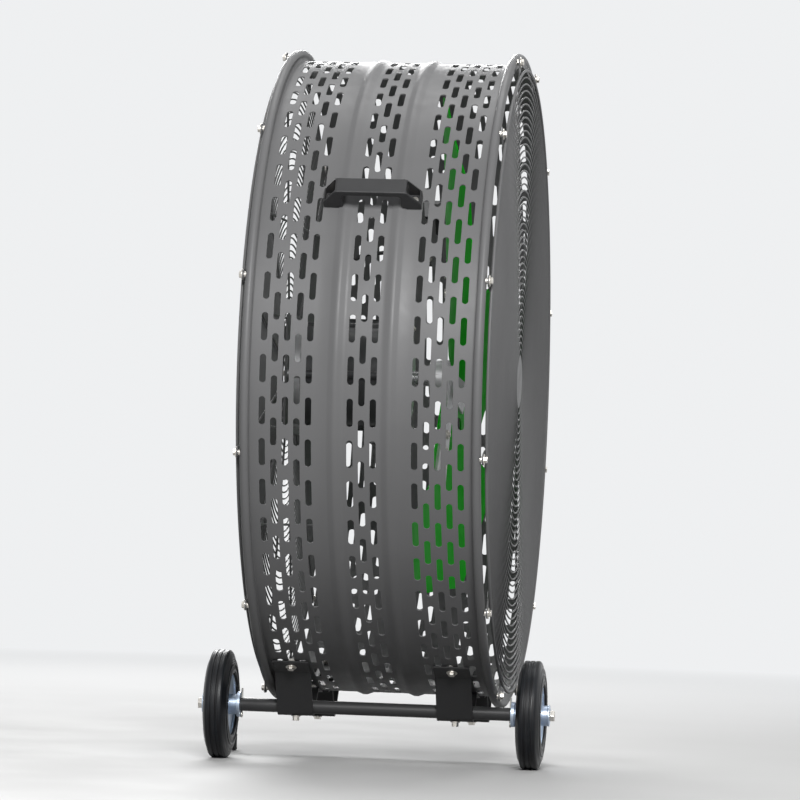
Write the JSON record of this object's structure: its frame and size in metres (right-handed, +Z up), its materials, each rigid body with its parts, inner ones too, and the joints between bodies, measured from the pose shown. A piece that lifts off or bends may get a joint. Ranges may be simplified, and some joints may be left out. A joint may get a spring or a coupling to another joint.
{
  "type": "wheeled drum fan",
  "caption": "Round perforated steel drum with wire guards, a motor-driven bladed fan inside, a pull handle, and a base with two wheels and rubber feet.",
  "frame": {"origin": "middle of the base on the floor", "axes": "+X along the fan's axis towards the air outlet, -Y towards the handle and wheels, +Z up"},
  "size_m": [0.597, 1.106, 1.1995],
  "materials": {
    "zinc_steel": "blue zinc-plated steel",
    "drum_paint": "satin dark grey powder coat",
    "bright_steel": "bright nickel-plated steel",
    "handle_plastic": "matt black moulded plastic",
    "blade_paint": "green paint",
    "bell_metal": "cast aluminium",
    "foot_rubber": "black rubber",
    "bracket_paint": "matt black powder coat",
    "tyre_rubber": "black rubber",
    "shaft_steel": "ground steel",
    "motor_paint": "dark grey enamel",
    "core_steel": "stacked sheet steel",
    "copper": "enamelled copper wire",
    "knob_plastic": "dark plastic"
  },
  "bodies": {
    "frame": {"axle_plugs": "zinc_steel", "axle_tube": "drum_paint", "bracket_bolts": "bright_steel", "carry_handle": "handle_plastic", "cord_gland": "handle_plastic", "cover_screws": "bright_steel", "drum_shell": "drum_paint", "foot_tips": "foot_rubber", "foot_tube": "bracket_paint", "frame_nuts": "bright_steel", "frame_washers": "bright_steel", "front_axle_bracket": "bracket_paint", "front_centre_plate": "drum_paint", "front_foot_bracket": "bracket_paint", "front_guard_rings": "drum_paint", "front_guard_spokes": "drum_paint", "front_guard_tabs": "drum_paint", "front_rim": "drum_paint", "guard_bolts": "bright_steel", "guard_washers": "bright_steel", "lead_grommet": "foot_rubber", "lead_ties": "handle_plastic", "motor_bearings": "shaft_steel", "motor_bolts": "bright_steel", "motor_front_bell": "bell_metal", "motor_housing": "motor_paint", "motor_lead": "foot_rubber", "motor_plate": "drum_paint", "motor_rear_bell": "bell_metal", "motor_stator": "core_steel", "mounting_screws": "bright_steel", "rear_axle_bracket": "bracket_paint", "rear_cross_rods": "drum_paint", "rear_foot_bracket": "bracket_paint", "rear_guard_rings": "drum_paint", "rear_guard_spokes": "drum_paint", "rear_guard_tabs": "drum_paint", "rear_rim": "drum_paint", "rim_inserts": "bright_steel", "rotary_switch": "handle_plastic", "split_pins": "bright_steel", "stator_windings": "copper", "switch_box": "handle_plastic", "switch_box_lid": "handle_plastic", "terminal_box": "motor_paint", "terminal_lid": "handle_plastic", "tube_bolts": "bright_steel", "wheel_bolts": "zinc_steel", "wheel_washers": "zinc_steel"},
    "fan": {"motor_shaft": "shaft_steel", "motor_rotor": "core_steel", "fan_hub": "bell_metal", "fan_blades": "blade_paint", "blade_bolts": "bright_steel"},
    "knob": {"switch_knob": "knob_plastic"},
    "front_wheel": {"front_tyre": "tyre_rubber", "front_wheel_hub": "zinc_steel"},
    "rear_wheel": {"rear_tyre": "tyre_rubber", "rear_wheel_hub": "zinc_steel"}
  },
  "joints": [
    {"name": "fan_spin", "type": "hinge", "parent": "frame", "child": "fan", "pos_m": [0.009, 0, 0.6465], "axis": [1, 0, 0], "continuous": true},
    {"name": "front_wheel_roll", "type": "hinge", "parent": "frame", "child": "front_wheel", "pos_m": [0.26, -0.15, 0.09], "axis": [1, 0, 0], "continuous": true},
    {"name": "rear_wheel_roll", "type": "hinge", "parent": "frame", "child": "rear_wheel", "pos_m": [-0.26, -0.15, 0.09], "axis": [1, 0, 0], "continuous": true},
    {"name": "speed_knob", "type": "hinge", "parent": "frame", "child": "knob", "pos_m": [0.039, 0.52587, 0.94463], "axis": [0, 0.8699, 0.4932], "range_deg": [0, 135]}
  ]
}
